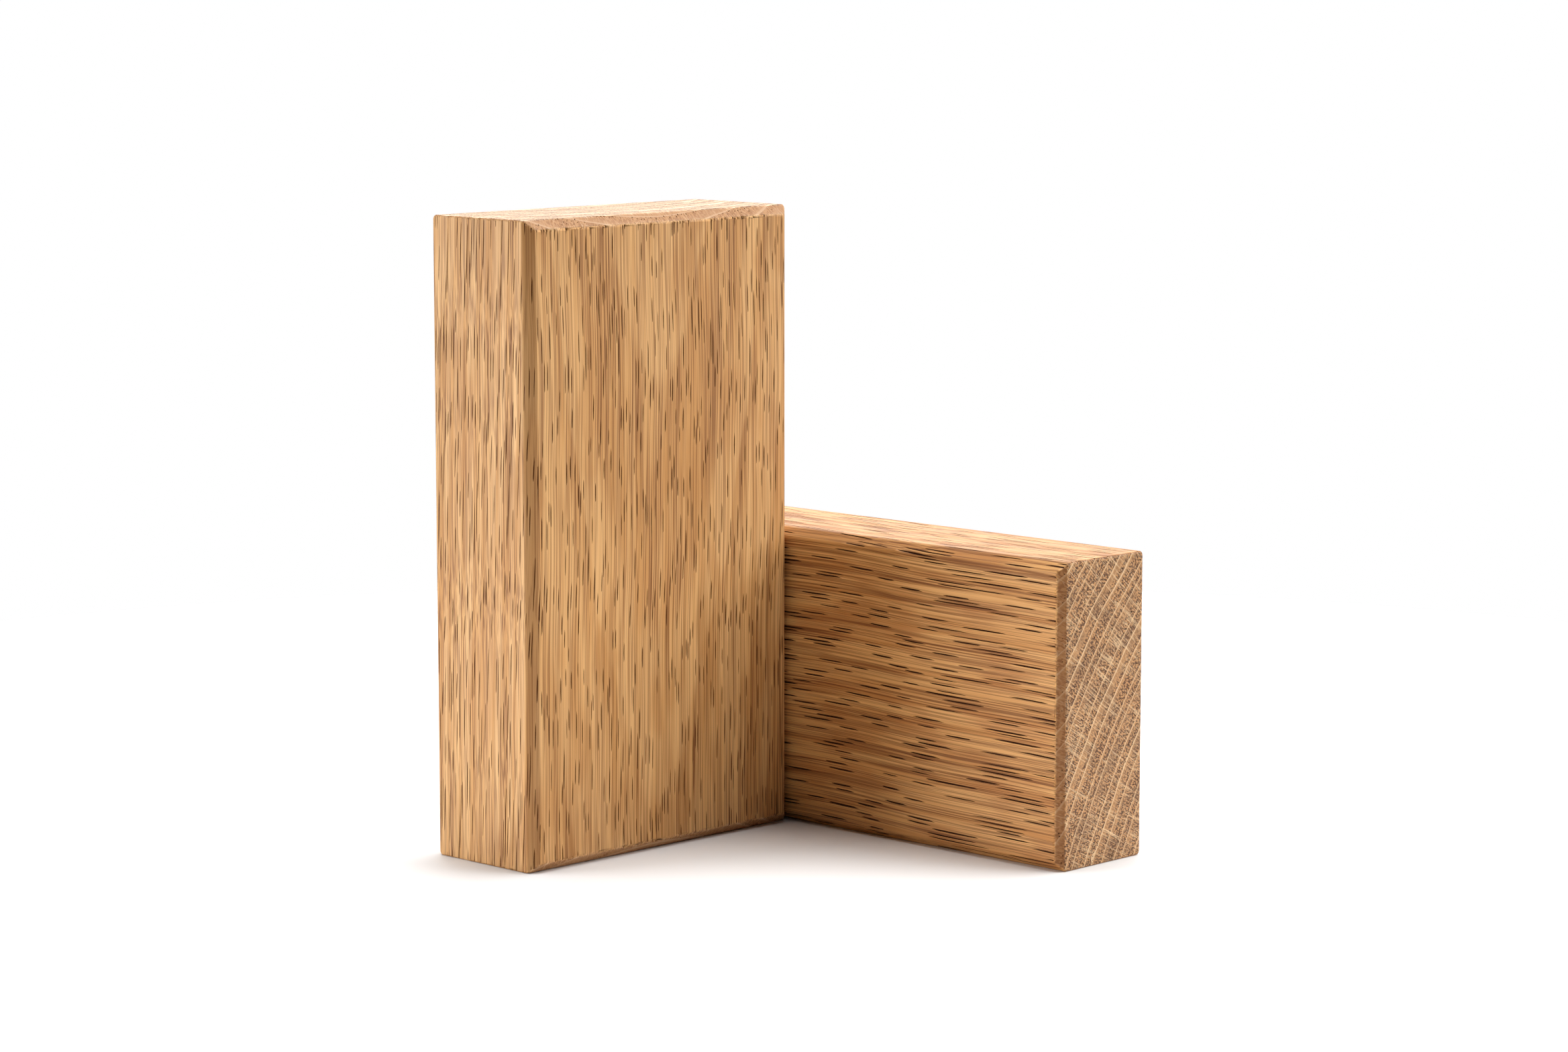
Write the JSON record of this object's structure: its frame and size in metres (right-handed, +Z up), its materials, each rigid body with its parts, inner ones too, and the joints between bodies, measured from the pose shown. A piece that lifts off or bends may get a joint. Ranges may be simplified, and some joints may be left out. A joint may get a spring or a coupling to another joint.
{
  "type": "pair of oak blocks",
  "caption": "Larger oak block standing on its end grain with its narrow side flush on the broad face of a smaller oak block lying on its long side; broad faces chamfered all round.",
  "frame": {"origin": "on the surface that both blocks stand on, under the middle of the pair's box", "axes": "+Z up; +X along the upright block's width, towards the lying block; +Y along the lying block's length, away from the upright block's front face"},
  "size_m": [0.1158, 0.13, 0.15],
  "materials": {
    "oak_upright": "planed, eased and lightly oiled, open pored",
    "oak_lying": "planed, eased and lightly oiled, open pored"
  },
  "bodies": {
    "root": {"upright_block": "oak_upright", "lying_block": "oak_lying"}
  },
  "joints": []
}
